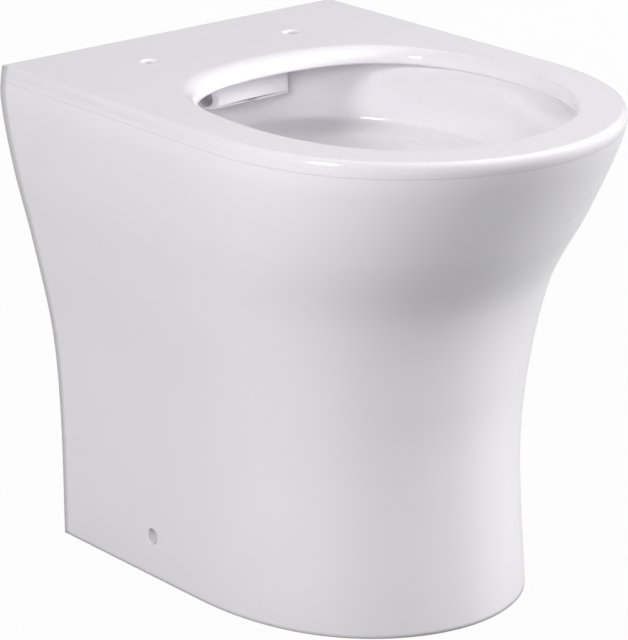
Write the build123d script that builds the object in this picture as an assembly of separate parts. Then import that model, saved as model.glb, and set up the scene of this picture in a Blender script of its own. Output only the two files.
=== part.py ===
from build123d import *
import math
import os

# Floor-standing, back-to-wall toilet pan with a rimless bowl.
# Millimetres, +Z up, floor at z = 0, wall at the back (+Y), symmetric about x = 0.
# Distances named "..._from_wall" run forward from the wall plane.

# Overall sizes
overall_depth = 563.2
total_height = 455.0

# Body outline at the rim
rim_half_width = 182.0
rim_side_length = 332.0
rim_side_handle = 0.651
rim_nose_handle = 0.477

# Body outline at the waist
waist_height = 118.0
waist_half_width = 142.0
waist_depth = 428.2
waist_side_length = 222.0
waist_side_handle = 0.784
waist_nose_handle = 0.386

# Body profile between floor, waist and rim, with how far each plan has turned to the rim's
foot_over_waist = 3.0
foot_depth = 428.5
calf_height = 200.0
calf_over_waist = 3.5
calf_depth = 434.3
calf_turn = 0.25
flare_below_rim = 165.0
flare_over_waist = 19.2
flare_depth = 456.5
flare_turn = 0.49
cheek_below_rim = 95.0
cheek_under_rim_half_width = 5.8
cheek_depth = 504.4
cheek_turn = 0.77
shoulder_below_rim = 30.0
shoulder_over_rim_half_width = 2.9
shoulder_depth = 546.8
shoulder_turn = 0.94
section_count = 20

# Soft top edge, tighter at the back than at the nose
top_edge_drop = 11.0
top_edge_back = 1.5
top_edge_side = 4.5
top_edge_nose = 9.5
top_edge_steps = 4

# Ceramic thicknesses
skirt_wall = 12.0
deck_thickness = 14.0
bowl_wall = 9.0
web_thickness = 10.0
skirt_joint_from_wall = 215.0
cut_margin = 5.0
same_place = 0.01

# Opening in the deck, measured at the lip
lip_half_width = 139.0
lip_back_from_wall = 157.0
lip_front_from_wall = 510.0
lip_pull = 0.62
lip_drop = 9.0
lip_roll_side = 3.5
lip_roll_front = 4.0
lip_roll_back = 24.0
lip_under_roll = 2.0
roll_step_count = 4

# Plan ovals: place of the widest point and the pull of a true ellipse
oval_middle_share = 0.49
ellipse_pull = 0.5523

# Seat hinge holes in the deck
seat_hole_spacing = 155.0
seat_hole_radius = 7.0
seat_hole_from_wall = 81.0
seat_hole_edge_radius = 2.0

# Bowl cavity: upper wall, ledge, lower bowl and sump
wall_half_width = 141.5
wall_back_from_wall = 100.0
wall_front_from_wall = 512.0
ledge_below_rim = 71.0
ledge_outer_half_width = 127.0
ledge_outer_back_from_wall = 101.0
ledge_outer_front_from_wall = 488.0
ledge_drop = 8.0
ledge_inner_half_width = 109.0
ledge_inner_back_from_wall = 123.0
ledge_inner_front_from_wall = 466.0
ledge_corner_radius = 6.0
ledge_nose_radius = 5.0
middle_below_rim = 165.0
middle_half_width = 88.0
middle_back_from_wall = 216.0
middle_front_from_wall = 424.0
low_below_rim = 265.0
low_half_width = 60.0
low_back_from_wall = 260.0
low_front_from_wall = 378.0
sump_floor_height = 92.0
sump_half_width = 42.0
sump_back_from_wall = 268.0
sump_front_from_wall = 352.0
sump_floor_radius = 22.0

# Trapway: water seal bend and soil outlet
trap_bore_radius = 36.0
trap_wall = 9.0
trap_bend_radius = 50.0
trap_start_from_wall = 310.0
trap_start_height = 128.0
trap_foot_bend_from_wall = 238.0
trap_crown_from_wall = 150.0
trap_crown_height = 318.0
trap_outlet_bend_from_wall = 66.0
trap_joint_above_outlet = 40.0
trap_legs_part_from_wall = 144.0
outlet_height = 180.0
spigot_outer_radius = 51.0
spigot_length = 32.0
spigot_back_gap = 6.0

# Flush inlet, duct and distributor
inlet_height = 350.0
inlet_bore_radius = 27.5
inlet_wall = 8.0
inlet_socket_length = 44.0
inlet_back_gap = 4.0
duct_half_width = 44.0
duct_floor_height = 308.0
duct_wall = 8.0
distributor_half_width = 38.0
distributor_face_from_wall = 130.0
distributor_height = 29.0
distributor_end_length = 21.0
distributor_end_turn = 60.0
distributor_edge_radius = 6.0
distributor_wall = 6.0
neck_half_width = 24.0
neck_floor_gap = 4.5
neck_wall = 4.0
side_outlet_radius = 6.5
side_outlet_along_end = 12.6
side_outlet_above_floor = 9.0
side_outlet_length = 36.0
centre_outlet_half_width = 6.0
centre_outlet_height = 4.0

# Rear panel between the skirt sides
rear_panel_thickness = 12.0
rear_panel_floor_height = 296.0

# Side fixing holes, square to the skirt, and the bosses behind them
side_hole_radius = 7.0
side_hole_height = 38.3
side_hole_from_wall = 148.5
side_hole_edge_radius = 1.5
slope_step = 1.0
boss_length = 44.0
boss_thickness = 9.0

# Concealed floor brackets and their bushes
bracket_thickness = 3.0
bracket_width = 34.0
bracket_foot_length = 46.0
bracket_height = 62.0
bracket_slot_length = 16.0
bracket_slot_radius = 4.0
bracket_hole_radius = 9.0
bush_clearance = 0.05
bush_end_gap = 0.5
bush_flange_radius = 13.0
bush_flange_thickness = 2.5
bush_length = 16.0
bush_barrel_radius = 8.0
bush_bore_radius = 3.0

# Inlet seal
seal_pipe_radius = 22.0
seal_depth = 32.0
seal_flange_radius = 34.0
seal_flange_thickness = 3.5
seal_stop_radius = 19.5
seal_stop_width = 3.0
seal_clearance = 0.05

# Supports under the bowl
side_web_from_wall = 305.0
side_web_floor_height = 170.0
side_web_top_height = 350.0
front_web_floor_height = 110.0
front_web_top_height = 350.0
trap_foot_half_width = 22.0
trap_foot_length = 60.0
trap_foot_wall = 9.0

# Places worked out from the sizes above
deck_floor = total_height - deck_thickness
top_edge_floor = total_height - top_edge_drop
flare_height = total_height - flare_below_rim
cheek_height = total_height - cheek_below_rim
shoulder_height = total_height - shoulder_below_rim
ledge_height = total_height - ledge_below_rim
middle_height = total_height - middle_below_rim
low_height = total_height - low_below_rim
trap_joint_height = outlet_height + trap_joint_above_outlet
distributor_floor_height = deck_floor - distributor_height
trap_outer_radius = trap_bore_radius + trap_wall
inlet_outer_radius = inlet_bore_radius + inlet_wall
body_points = [
    # height, half width, depth, turn of the plan from waist to rim
    (0.0, waist_half_width + foot_over_waist, foot_depth, 0.0),
    (waist_height, waist_half_width, waist_depth, 0.0),
    (calf_height, waist_half_width + calf_over_waist, calf_depth, calf_turn),
    (flare_height, waist_half_width + flare_over_waist, flare_depth, flare_turn),
    (cheek_height, rim_half_width - cheek_under_rim_half_width, cheek_depth, cheek_turn),
    (shoulder_height, rim_half_width + shoulder_over_rim_half_width, shoulder_depth, shoulder_turn),
    (total_height, rim_half_width, overall_depth, 1.0),
]


def at(from_wall):
    """Y of a point that lies this far in front of the wall."""
    return wall_y - from_wall


def mix(first, last, share):
    return first + (last - first) * share


# Body surface
def profile(points, height):
    """Smooth value at a height through (height, value) points, with rounded slopes."""
    slopes = []
    for i, (h, v) in enumerate(points):
        before = points[max(i - 1, 0)]
        after = points[min(i + 1, len(points) - 1)]
        slopes.append((after[1] - before[1]) / (after[0] - before[0]))
    for i in range(len(points) - 1):
        low, high = points[i], points[i + 1]
        if height <= high[0] or i == len(points) - 2:
            span = high[0] - low[0]
            t = (height - low[0]) / span
            keep = (1 + 2 * t) * (1 - t) ** 2
            rise = t * (1 - t) ** 2
            gain = t * t * (3 - 2 * t)
            fall = t * t * (t - 1)
            ends = low[1] * keep + high[1] * gain
            return ends + span * (slopes[i] * rise + slopes[i + 1] * fall)


def half_width_at(height):
    return profile([(point[0], point[1]) for point in body_points], height)


def depth_at(height):
    return profile([(point[0], point[2]) for point in body_points], height)


def turn_at(height):
    turn = profile([(point[0], point[3]) for point in body_points], height)
    return min(max(turn, 0.0), 1.0)


def body_section(height, inset=0.0, back_reach=0.0, edge=0.0):
    """D-shaped face: straight sides from the wall, then a rounded nose."""
    turn = turn_at(height)
    side = mix(waist_side_length, rim_side_length, turn)
    side_handle = mix(waist_side_handle, rim_side_handle, turn)
    nose_handle = mix(waist_nose_handle, rim_nose_handle, turn)
    back_half = half_width_at(height) - inset - edge * top_edge_back
    half = half_width_at(height) - inset - edge * top_edge_side
    nose = depth_at(height) - inset - edge * top_edge_nose
    back = wall_y + back_reach
    bend = side + side_handle * (nose - side)
    corner_left = (-back_half, back, height)
    corner_right = (back_half, back, height)
    side_left = (-half, at(side), height)
    side_right = (half, at(side), height)
    tip = (0, at(nose), height)
    edges = [
        Line(corner_right, corner_left),
        Line(corner_left, side_left),
        Bezier(side_left, (-half, at(bend), height), (-nose_handle * half, at(nose), height), tip),
        Bezier(tip, (nose_handle * half, at(nose), height), (half, at(bend), height), side_right),
        Line(side_right, corner_right),
    ]
    return Face(Wire(edges))


def edge_levels():
    """Heights up the soft top edge, with how far each is turned in."""
    levels = []
    for i in range(top_edge_steps + 1):
        angle = math.radians(90.0 * i / top_edge_steps)
        levels.append((top_edge_floor + top_edge_drop * math.sin(angle), 1 - math.cos(angle)))
    return levels


# The nose reaches furthest part of the way up the soft top edge
wall_y = max(depth_at(height) - top_edge_nose * edge for height, edge in edge_levels()) / 2


def section_heights():
    return [top_edge_floor * i / (section_count - 1) for i in range(section_count)]


def body_solid():
    return loft([body_section(height) for height in section_heights()])


def top_edge_solid():
    return loft([body_section(height, edge=edge) for height, edge in edge_levels()])


def body_core():
    """Space inside the skirt wall, open past the wall plane and the floor."""
    faces = [body_section(height, skirt_wall, cut_margin) for height in section_heights()]
    below = Pos(0, 0, -cut_margin) * faces[0]
    core = loft(faces)
    return core + extrude(below, cut_margin)


def slab(low, high):
    """Box over the whole plan between two heights."""
    size = 2 * overall_depth
    return Pos(0, 0, (low + high) / 2) * Box(size, size, high - low)


# Bowl surface
def oval(half_width, back_from_wall, front_from_wall, height, grow=0.0, pull=ellipse_pull):
    """Closed plan oval at a height, from four quarter curves."""
    half = half_width + grow
    back = back_from_wall - grow
    front = front_from_wall + grow
    middle = mix(back, front, oval_middle_share)
    back_bend = at(mix(middle, back, pull))
    front_bend = at(mix(middle, front, pull))
    right = (half, at(middle), height)
    left = (-half, at(middle), height)
    rear = (0, at(back), height)
    nose = (0, at(front), height)
    edges = [
        Bezier(right, (half, back_bend, height), (pull * half, at(back), height), rear),
        Bezier(rear, (-pull * half, at(back), height), (-half, back_bend, height), left),
        Bezier(left, (-half, front_bend, height), (-pull * half, at(front), height), nose),
        Bezier(nose, (pull * half, at(front), height), (half, front_bend, height), right),
    ]
    return Face(Wire(edges))


def ledge_outer_oval(grow):
    return oval(
        ledge_outer_half_width, ledge_outer_back_from_wall, ledge_outer_front_from_wall,
        ledge_height - grow, grow,
    )


def ledge_inner_oval(grow):
    return oval(
        ledge_inner_half_width, ledge_inner_back_from_wall, ledge_inner_front_from_wall,
        ledge_height - ledge_drop - grow, grow,
    )


def upper_bowl(grow):
    top = oval(
        wall_half_width, wall_back_from_wall, wall_front_from_wall, deck_floor, grow, lip_pull
    )
    return loft([top, ledge_outer_oval(grow)])


def ledge_bowl(grow):
    return loft([ledge_outer_oval(grow), ledge_inner_oval(grow)])


def lower_bowl(grow):
    levels = [
        ledge_inner_oval(grow),
        oval(middle_half_width, middle_back_from_wall, middle_front_from_wall, middle_height, grow),
        oval(low_half_width, low_back_from_wall, low_front_from_wall, low_height, grow),
        oval(
            sump_half_width, sump_back_from_wall, sump_front_from_wall,
            sump_floor_height - grow, grow,
        ),
    ]
    return loft(levels)


def edges_at(shape, height):
    return shape.edges().filter_by_position(Axis.Z, height - same_place, height + same_place)


def bowl_cavity():
    cavity = upper_bowl(0) + ledge_bowl(0) + lower_bowl(0)
    cavity = fillet(edges_at(cavity, ledge_height), ledge_corner_radius)
    cavity = fillet(edges_at(cavity, ledge_height - ledge_drop), ledge_nose_radius)
    return fillet(edges_at(cavity, sump_floor_height), sump_floor_radius)


def bowl_outside():
    return upper_bowl(bowl_wall) + ledge_bowl(bowl_wall) + lower_bowl(bowl_wall)


# Trapway path
def trap_path():
    points = [
        (0, at(trap_start_from_wall), trap_start_height),
        (0, at(trap_foot_bend_from_wall), trap_start_height),
        (0, at(trap_crown_from_wall), trap_crown_height),
        (0, at(trap_outlet_bend_from_wall), outlet_height),
        (0, at(spigot_back_gap), outlet_height),
    ]
    return FilletPolyline(*points, radius=trap_bend_radius)


def swept_round(path, radius):
    start = Plane(origin=path @ 0, z_dir=path % 0)
    return sweep(start * Circle(radius), path=path)


def along_y(radius, back_from_wall, front_from_wall, height, x=0.0):
    """Round bar along Y between two distances from the wall."""
    length = front_from_wall - back_from_wall
    middle = at((back_from_wall + front_from_wall) / 2)
    return Pos(x, middle, height) * Rot(90, 0, 0) * Cylinder(radius, length)


def block(x_low, x_high, front_from_wall, back_from_wall, z_low, z_high):
    """Box between two distances from the wall."""
    size = (x_high - x_low, front_from_wall - back_from_wall, z_high - z_low)
    middle = ((x_low + x_high) / 2, at((front_from_wall + back_from_wall) / 2), (z_low + z_high) / 2)
    return Pos(*middle) * Box(*size)


def save(name, shape):
    shape.label = name
    export_step(shape, f"parts/{name}.step")


# Shapes shared by several pieces
body = body_solid()
top_edge = top_edge_solid()
core = body_core()
shell = (body & slab(0, deck_floor)) - core
cavity = bowl_cavity()
bowl_mass = bowl_outside()
trap_line = trap_path()
trap_bore = swept_round(trap_line, trap_bore_radius)
spigot_front = spigot_back_gap + spigot_length
duct_back = inlet_back_gap + inlet_socket_length
duct_front = wall_back_from_wall - bowl_wall - duct_wall
neck_floor = distributor_floor_height + neck_floor_gap
neck_top = deck_floor - distributor_wall + neck_wall


# Skirt: two straight sides and the nose, open to the wall and to the floor
side_hole_rise = half_width_at(side_hole_height) - half_width_at(side_hole_height + slope_step)
side_hole_tilt = math.degrees(math.atan2(side_hole_rise, slope_step))


def square_to_skirt(side):
    """Turn that lays a bar square to the skirt's outer face at the side holes."""
    return Rot(0, side * (90 - side_hole_tilt), 0)


def side_hole_bar(side, radius):
    """Round bar through one side hole, from outside the skirt to behind the boss."""
    reach = 2 * (skirt_wall + boss_thickness)
    middle = Pos(side * half_width_at(side_hole_height), at(side_hole_from_wall), side_hole_height)
    return middle * square_to_skirt(side) * Cylinder(radius, 2 * reach)


def skirt_side(side):
    low_x, high_x = sorted((0, side * 2 * rim_half_width))
    behind = block(low_x, high_x, skirt_joint_from_wall, 0, 0, deck_floor)
    wall = (shell & behind) - side_hole_bar(side, side_hole_radius)
    outer_edges = []
    for edge in wall.edges():
        box = edge.bounding_box()
        centre = box.center()
        near = abs(centre.Z - side_hole_height) < side_hole_radius
        small = box.size.Z < 3 * side_hole_radius and box.size.Y < 3 * side_hole_radius
        outside = abs(centre.X) > half_width_at(side_hole_height) - skirt_wall / 2
        if near and small and outside and box.size.X < side_hole_radius:
            outer_edges.append(edge)
    return fillet(outer_edges, side_hole_edge_radius)


def skirt_front():
    width = 2 * rim_half_width
    ahead = block(-width, width, 2 * overall_depth, skirt_joint_from_wall, 0, deck_floor)
    return shell & ahead


# Rim deck: flat top with the lip rolled over the bowl and two seat holes
def lip_cutter():
    levels = []
    for i in range(roll_step_count + 1):
        angle = math.radians(90.0 * i / roll_step_count)
        out = 1 - math.sin(angle)
        levels.append(oval(
            lip_half_width + lip_roll_side * out,
            lip_back_from_wall - lip_roll_back * out,
            lip_front_from_wall + lip_roll_front * out,
            total_height - lip_drop * (1 - math.cos(angle)),
            pull=lip_pull,
        ))
    levels.append(oval(
        lip_half_width, lip_back_from_wall, lip_front_from_wall, deck_floor, lip_under_roll, lip_pull
    ))
    return loft(levels)


def rim_deck():
    deck = (body & slab(deck_floor, top_edge_floor)) + top_edge
    deck = deck - lip_cutter()
    for side in (-1, 1):
        centre = (side * seat_hole_spacing / 2, at(seat_hole_from_wall), total_height)
        deck = deck - Pos(*centre) * Cylinder(seat_hole_radius, 3 * deck_thickness)
    rims = edges_at(deck, total_height).filter_by(GeomType.CIRCLE)
    return fillet(rims, seat_hole_edge_radius)


# Bowl: cast wall round the cavity, with ports for the trapway and the distributor neck
def neck_block(grow):
    return block(
        -neck_half_width - grow, neck_half_width + grow,
        distributor_face_from_wall - distributor_wall, duct_front,
        neck_floor - grow, neck_top + grow,
    )


def bowl():
    wall = bowl_mass - cavity - trap_bore - neck_block(0)
    return wall & slab(low_height, total_height)


def sump():
    return (bowl_mass - cavity - trap_bore) & slab(0, low_height)


# Trapway: rising leg from the sump, crown over the weir, falling leg to the outlet
def trapway():
    tube = swept_round(trap_line, trap_outer_radius)
    behind = block(-rim_half_width, rim_half_width, spigot_front, 0, 0, total_height)
    return tube - trap_bore - bowl_mass - behind


def trap_rise():
    width = 2 * trap_outer_radius
    ahead = block(-width, width, overall_depth, trap_legs_part_from_wall, 0, trap_joint_height)
    return trap_tube & ahead


def trap_crown():
    return trap_tube & slab(trap_joint_height, total_height)


def trap_fall():
    width = 2 * trap_outer_radius
    behind = block(-width, width, trap_legs_part_from_wall, 0, 0, trap_joint_height)
    return trap_tube & behind


def outlet_spigot():
    collar = along_y(spigot_outer_radius, spigot_back_gap, spigot_front, outlet_height)
    return collar - along_y(trap_bore_radius, 0, spigot_front + cut_margin, outlet_height)


# Flush way: socket at the back, duct behind the bowl, distributor under the back lip
def inlet_socket():
    tube = along_y(inlet_outer_radius, inlet_back_gap, duct_back, inlet_height)
    return tube - along_y(inlet_bore_radius, 0, duct_back + cut_margin, inlet_height)


def flush_duct():
    reach = wall_back_from_wall + bowl_wall
    box = block(-duct_half_width, duct_half_width, reach, duct_back, duct_floor_height, deck_floor)
    inner = duct_half_width - duct_wall
    hollow = block(
        -inner, inner, duct_front, duct_back + duct_wall,
        duct_floor_height + duct_wall, deck_floor - duct_wall,
    )
    port = along_y(inlet_bore_radius, 0, duct_back + duct_wall + cut_margin, inlet_height)
    return box - hollow - port - neck_block(0) - bowl_mass


def distributor_end(side, along):
    """Plan point on a slanted end face, this far from its front corner."""
    turn = math.radians(distributor_end_turn)
    x = side * (distributor_half_width + along * math.cos(turn))
    return x, at(distributor_face_from_wall - along * math.sin(turn))


def distributor_plan():
    right = distributor_end(1, distributor_end_length)
    left = distributor_end(-1, distributor_end_length)
    points = [
        distributor_end(-1, 0),
        distributor_end(1, 0),
        right,
        (right[0], at(duct_front)),
        (left[0], at(duct_front)),
        left,
    ]
    return Face(Wire(Polyline(*points, close=True).edges()))


def flush_distributor():
    plan = Pos(0, 0, distributor_floor_height) * distributor_plan()
    head = extrude(plan, distributor_height)
    face_y = at(distributor_face_from_wall)
    front_edges = head.edges().filter_by_position(Axis.Y, face_y - same_place, face_y + same_place)
    head = fillet(front_edges.filter_by(Axis.X), distributor_edge_radius)
    head = head & upper_bowl(0)
    inner = neck_half_width - neck_wall
    plenum_front = distributor_face_from_wall - distributor_wall
    plenum_back = wall_back_from_wall + 2 * distributor_wall
    plenum_half = distributor_half_width - distributor_wall
    plenum_floor = neck_floor + neck_wall
    plenum_top = neck_top - neck_wall
    plenum = block(-plenum_half, plenum_half, plenum_front, plenum_back, plenum_floor, plenum_top)
    throat = block(-inner, inner, plenum_front, duct_front - cut_margin, plenum_floor, plenum_top)
    notch = block(
        -centre_outlet_half_width, centre_outlet_half_width,
        distributor_face_from_wall + cut_margin, plenum_front - distributor_wall,
        distributor_floor_height - cut_margin, distributor_floor_height + centre_outlet_height,
    )
    riser = block(
        -centre_outlet_half_width, centre_outlet_half_width,
        plenum_front, plenum_front - distributor_wall,
        distributor_floor_height, plenum_floor + cut_margin,
    )
    shape = head + neck_block(0) - plenum - throat - notch - riser
    outlet_z = distributor_floor_height + side_outlet_above_floor
    for side in (-1, 1):
        x, y = distributor_end(side, side_outlet_along_end)
        turn = Rot(0, 0, side * distributor_end_turn) * Rot(90, 0, 0)
        bar = Pos(x, y, outlet_z) * turn * Cylinder(side_outlet_radius, side_outlet_length)
        shape = shape - bar
    return shape


def inlet_seal():
    outer = inlet_bore_radius - seal_clearance
    sleeve = along_y(outer, inlet_back_gap, seal_depth, inlet_height)
    flange_back = inlet_back_gap - seal_flange_thickness
    flange = along_y(seal_flange_radius, flange_back, inlet_back_gap, inlet_height)
    pipe = along_y(seal_pipe_radius, 0, seal_depth - seal_stop_width, inlet_height)
    stop = along_y(seal_stop_radius, 0, seal_depth + cut_margin, inlet_height)
    return sleeve + flange - pipe - stop


# Rear panel: closes the back under the deck round the flush inlet
def rear_panel():
    plate = block(
        -rim_half_width, rim_half_width, rear_panel_thickness, 0, rear_panel_floor_height, deck_floor
    )
    return (plate & core) - along_y(inlet_outer_radius, -cut_margin, duct_back, inlet_height)


# Webs and foot under the bowl
def side_web(side):
    low_x, high_x = sorted((0, side * rim_half_width))
    plate = block(
        low_x, high_x, side_web_from_wall + web_thickness, side_web_from_wall,
        side_web_floor_height, side_web_top_height,
    )
    return (plate & core) - bowl_mass


def front_web():
    plate = block(
        -web_thickness / 2, web_thickness / 2, overall_depth, trap_start_from_wall,
        front_web_floor_height, front_web_top_height,
    )
    return (plate & core) - bowl_mass


def trap_foot():
    centre = trap_start_from_wall
    half = trap_foot_length / 2
    width = trap_foot_half_width
    pillar = block(-width, width, centre + half, centre - half, 0, trap_start_height)
    inner = trap_foot_half_width - trap_foot_wall
    half_inner = half - trap_foot_wall
    hollow = block(
        -inner, inner, centre + half_inner, centre - half_inner, -cut_margin, trap_start_height + cut_margin
    )
    return pillar - hollow - bowl_mass


# Side fixing: boss behind the hole, floor bracket and its bush
boss_face = half_width_at(side_hole_height) - skirt_wall - boss_thickness
boss_low = side_hole_height - boss_length / 2
boss_high = side_hole_height + boss_length / 2
bush_height = side_hole_height - (skirt_wall + boss_thickness) * math.tan(math.radians(side_hole_tilt))


def fixing_boss(side):
    low_x, high_x = sorted((side * boss_face, side * rim_half_width))
    half = boss_length / 2
    pad = block(low_x, high_x, side_hole_from_wall + half, side_hole_from_wall - half, boss_low, boss_high)
    return (pad & core) - side_hole_bar(side, side_hole_radius)


def bush_bar(side, radius, low, high):
    """Round bar along X between two distances from the middle plane."""
    middle = Pos(side * (low + high) / 2, at(side_hole_from_wall), bush_height)
    return middle * Rot(0, 90, 0) * Cylinder(radius, high - low)


def fixing_bracket(side):
    half = bracket_width / 2
    inner_x = boss_face - bracket_thickness
    low_x, high_x = sorted((side * inner_x, side * boss_face))
    front = side_hole_from_wall + half
    back = side_hole_from_wall - half
    upright = block(low_x, high_x, front, back, 0, bracket_height)
    toe_x = boss_face - bracket_foot_length
    low_x, high_x = sorted((side * toe_x, side * boss_face))
    foot = block(low_x, high_x, front, back, 0, bracket_thickness)
    hole = bush_bar(side, bracket_hole_radius, inner_x - cut_margin, boss_face + cut_margin)
    return upright + foot - hole - slot_cutter(side, (toe_x + inner_x) / 2)


def slot_cutter(side, middle_x):
    straight = bracket_slot_length - 2 * bracket_slot_radius
    shape = Box(straight, 2 * bracket_slot_radius, 4 * bracket_thickness)
    for end in (-1, 1):
        shape = shape + Pos(end * straight / 2, 0, 0) * Cylinder(bracket_slot_radius, 4 * bracket_thickness)
    return Pos(side * middle_x, at(side_hole_from_wall), 0) * shape


def bracket_bush(side):
    inner_x = boss_face - bracket_thickness
    flange_x = inner_x - bush_flange_thickness
    tail_x = boss_face - bush_length
    plug = bush_bar(side, bracket_hole_radius - bush_clearance, flange_x, boss_face - bush_end_gap)
    flange = bush_bar(side, bush_flange_radius, flange_x, inner_x)
    tail = bush_bar(side, bush_barrel_radius, tail_x, inner_x)
    bore = bush_bar(side, bush_bore_radius, tail_x - cut_margin, boss_face + cut_margin)
    return plug + flange + tail - bore


# Write every piece
os.makedirs("parts", exist_ok=True)
save("skirt_front", skirt_front())
save("rim_deck", rim_deck())
save("bowl", bowl())
save("sump", sump())
trap_tube = trapway()
save("trap_rise", trap_rise())
save("trap_crown", trap_crown())
save("trap_fall", trap_fall())
save("outlet_spigot", outlet_spigot())
save("inlet_socket", inlet_socket())
save("flush_duct", flush_duct())
save("flush_distributor", flush_distributor())
save("inlet_seal", inlet_seal())
save("rear_panel", rear_panel())
save("front_web", front_web())
save("trap_foot", trap_foot())
for name, side in (("left", 1), ("right", -1)):
    save(f"skirt_side_{name}", skirt_side(side))
    save(f"side_web_{name}", side_web(side))
    save(f"fixing_boss_{name}", fixing_boss(side))
    save(f"fixing_bracket_{name}", fixing_bracket(side))
    save(f"bracket_bush_{name}", bracket_bush(side))
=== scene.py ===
import math
import bmesh
import bpy
import numpy as np
from mathutils import Matrix, Vector
from mathutils.geometry import delaunay_2d_cdt


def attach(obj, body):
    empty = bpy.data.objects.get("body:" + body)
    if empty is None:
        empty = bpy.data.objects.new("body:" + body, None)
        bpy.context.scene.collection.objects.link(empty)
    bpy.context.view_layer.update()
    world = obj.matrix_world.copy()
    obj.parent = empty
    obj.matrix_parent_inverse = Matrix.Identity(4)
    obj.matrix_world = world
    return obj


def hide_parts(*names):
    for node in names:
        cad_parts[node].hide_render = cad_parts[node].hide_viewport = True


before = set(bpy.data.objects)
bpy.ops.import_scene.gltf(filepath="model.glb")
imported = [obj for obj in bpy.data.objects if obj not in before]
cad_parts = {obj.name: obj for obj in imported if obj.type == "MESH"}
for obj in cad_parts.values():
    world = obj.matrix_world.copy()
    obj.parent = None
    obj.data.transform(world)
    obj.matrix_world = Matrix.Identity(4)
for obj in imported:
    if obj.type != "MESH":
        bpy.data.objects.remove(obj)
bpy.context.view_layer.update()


# The pan's outer shell: a tall D in plan, straight at the sides and round at the nose, that
# narrows to a waist and flares out to the rim. It is slip-cast vitreous china about 12 mm thick,
# drained hollow, and glazed white all over. Sizes are millimetres from the floor and the wall.
MM = 0.001
rim_height = 455.0
deck_underside = 441.0
shell_wall = 12.0
shell_levels = np.array([
    # height, half width, depth from the wall, share of the way from waist to rim plan
    (0.0, 145.0, 428.5, 0.00),
    (118.0, 142.0, 428.2, 0.00),
    (200.0, 145.5, 434.3, 0.25),
    (290.0, 161.2, 456.5, 0.49),
    (360.0, 176.2, 504.4, 0.77),
    (425.0, 184.9, 546.8, 0.94),
    (455.0, 182.0, 563.2, 1.00),
])
waist_side, rim_side = 222.0, 332.0
waist_side_pull, rim_side_pull = 0.784, 0.651
waist_nose_pull, rim_nose_pull = 0.386, 0.477
edge_drop = 11.0
edge_in_back, edge_in_side, edge_in_nose = 1.5, 4.5, 9.5
fixing_hole_radius = 7.0
fixing_hole_height = 38.3
fixing_hole_from_wall = 148.5
fixing_hole_edge = 1.5
hole_window_up, hole_window_along = 24.0, 22.0
window_rows = 16


def level_values(height):
    """Half width, depth and plan share of the shell at a height, on smooth curves."""
    heights, values = shell_levels[:, 0], shell_levels[:, 1:]
    last = len(heights) - 1
    before = np.maximum(np.arange(last + 1) - 1, 0)
    after = np.minimum(np.arange(last + 1) + 1, last)
    slopes = (values[after] - values[before]) / (heights[after] - heights[before])[:, None]
    i = int(np.clip(np.searchsorted(heights, height, side="left") - 1, 0, last - 1))
    span = heights[i + 1] - heights[i]
    t = (height - heights[i]) / span
    ends = values[i] * (1 + 2 * t) * (1 - t) ** 2 + values[i + 1] * t * t * (3 - 2 * t)
    return ends + span * (slopes[i] * t * (1 - t) ** 2 + slopes[i + 1] * t * t * (t - 1))


edge_turns = np.radians(np.linspace(0, 90, 13))
nose_reach = max(
    level_values(rim_height - edge_drop + edge_drop * math.sin(a))[1] - edge_in_nose * (1 - math.cos(a))
    for a in edge_turns
)
wall_y = nose_reach / 2


def plan_outline(height, inset=0.0, edge=0.0, side_count=28, nose_count=64):
    """Right-hand half of the plan from the wall to the nose, as x and distance from the wall."""
    half, depth, share = level_values(height)
    share = min(max(share, 0.0), 1.0)
    side = waist_side + (rim_side - waist_side) * share
    side_pull = waist_side_pull + (rim_side_pull - waist_side_pull) * share
    nose_pull = waist_nose_pull + (rim_nose_pull - waist_nose_pull) * share
    back_half = half - inset - edge * edge_in_back
    half = half - inset - edge * edge_in_side
    nose = depth - inset - edge * edge_in_nose
    along = np.linspace(0, 1, side_count)
    straight = np.column_stack([back_half + (half - back_half) * along, side * along])
    t = np.linspace(0, 1, nose_count)[1:, None]
    points = np.array([
        (half, side), (half, side + side_pull * (nose - side)), (nose_pull * half, nose), (0.0, nose),
    ])
    curve = (
        (1 - t) ** 3 * points[0] + 3 * (1 - t) ** 2 * t * points[1]
        + 3 * (1 - t) * t * t * points[2] + t ** 3 * points[3]
    )
    return np.vstack([straight, curve])


def plan_ring(height, inset=0.0, edge=0.0):
    """Whole open plan at a height in the frame's millimetres, left back corner to right back corner."""
    half = plan_outline(height, inset, edge)
    right = np.column_stack([half[:, 0], wall_y - half[:, 1], np.full(len(half), height)])
    left = (right * [-1, 1, 1])[:-1]
    return np.vstack([left, right[::-1]])


def strip_faces(rows, count, start=0, closed=False, flip=False):
    """Quads between following rows of points."""
    faces = []
    for i in range(rows - 1):
        for j in range(count if closed else count - 1):
            a, b = start + i * count + j, start + i * count + (j + 1) % count
            quad = (a, b, b + count, a + count)
            faces.append(quad[::-1] if flip else quad)
    return faces


def new_piece(name, points, faces, material):
    """Smooth mesh object from points in millimetres."""
    mesh = bpy.data.meshes.new(name)
    mesh.from_pydata((np.asarray(points) * MM).tolist(), [], faces)
    bm = bmesh.new()
    bm.from_mesh(mesh)
    bmesh.ops.remove_doubles(bm, verts=bm.verts, dist=1e-6)
    bm.to_mesh(mesh)
    bm.free()
    mesh.shade_smooth()
    mesh.materials.append(material)
    piece = bpy.data.objects.new(name, mesh)
    bpy.context.scene.collection.objects.link(piece)
    return piece


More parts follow.
